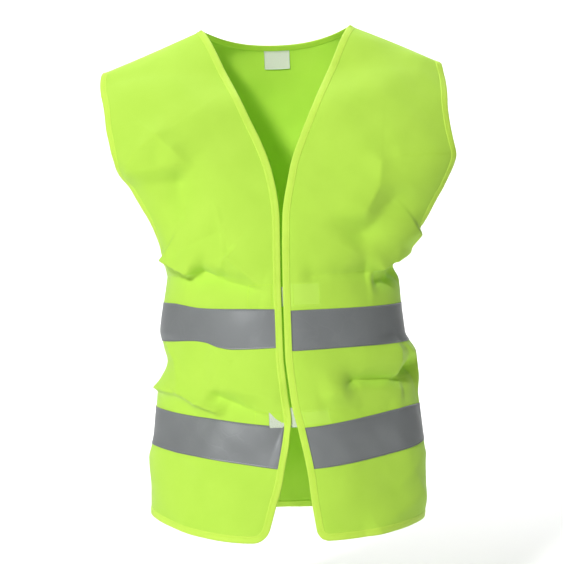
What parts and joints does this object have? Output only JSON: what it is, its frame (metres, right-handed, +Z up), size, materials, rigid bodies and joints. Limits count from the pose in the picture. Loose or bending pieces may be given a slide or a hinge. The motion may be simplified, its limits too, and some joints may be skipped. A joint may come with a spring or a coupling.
{
  "type": "high visibility vest",
  "caption": "Sleeveless V-neck safety vest in fluorescent cloth with reflective bands, bound edges and a front opening closed by hook-and-loop tabs.",
  "frame": {"origin": "midway between the two points where the neckline meets the shoulder seams, where the vest rests on the wearer's shoulders", "axes": "+Z up, the front faces -Y, the wearer's left is +X"},
  "size_m": [0.439, 0.2387, 0.6391],
  "materials": {
    "cloth": "fluorescent yellow-green knitted polyester, matt with a soft sheen",
    "binding": "slightly yellower woven edge binding",
    "reflective_tape": "silver-grey glass-bead reflective tape",
    "hook_and_loop": "white hook-and-loop tape",
    "label": "blank white woven label"
  },
  "bodies": {
    "root": {"back_panel": "cloth", "left_front_strap": "cloth", "right_front_strap": "cloth", "back_neck_binding": "binding", "left_strap_neck_binding": "binding", "right_strap_neck_binding": "binding", "back_hem_binding": "binding", "left_armhole_binding": "binding", "right_armhole_binding": "binding", "upper_back_tape": "reflective_tape", "lower_back_tape": "reflective_tape", "left_side_seam": "cloth", "right_side_seam": "cloth", "left_shoulder_seam": "cloth", "right_shoulder_seam": "cloth", "neck_label": "label"},
    "left_front": {"left_front_panel": "cloth", "left_front_edge_binding": "binding", "left_hem_binding": "binding", "left_front_armhole_binding": "binding", "upper_left_tape": "reflective_tape", "lower_left_tape": "reflective_tape", "upper_tab_anchor": "hook_and_loop", "lower_tab_anchor": "hook_and_loop"},
    "right_front": {"right_front_panel": "cloth", "right_front_edge_binding": "binding", "right_hem_binding": "binding", "right_front_armhole_binding": "binding", "upper_right_tape": "reflective_tape", "lower_right_tape": "reflective_tape", "upper_loop_patch": "hook_and_loop", "lower_loop_patch": "hook_and_loop"},
    "upper_tab": {"upper_hook_tab": "hook_and_loop"},
    "lower_tab": {"lower_hook_tab": "hook_and_loop"}
  },
  "joints": [
    {"name": "left_front_swing", "type": "hinge", "parent": "root", "child": "left_front", "pos_m": [0.152, 0, -0.306], "axis": [-0.0881, 0, 0.9961], "range_deg": [0, 70]},
    {"name": "right_front_swing", "type": "hinge", "parent": "root", "child": "right_front", "pos_m": [-0.152, 0, -0.306], "axis": [-0.0881, 0, -0.9961], "range_deg": [0, 70]},
    {"name": "upper_tab_peel", "type": "hinge", "parent": "left_front", "child": "upper_tab", "pos_m": [0.0086, -0.1152, -0.342], "axis": [0, 0, -1], "range_deg": [0, 80]},
    {"name": "lower_tab_peel", "type": "hinge", "parent": "left_front", "child": "lower_tab", "pos_m": [0.0086, -0.1179, -0.489], "axis": [0, 0, -1], "range_deg": [0, 80]}
  ],
  "couplings": [
    {"joint": "right_front_swing", "follows": "left_front_swing", "ratio": 1}
  ]
}
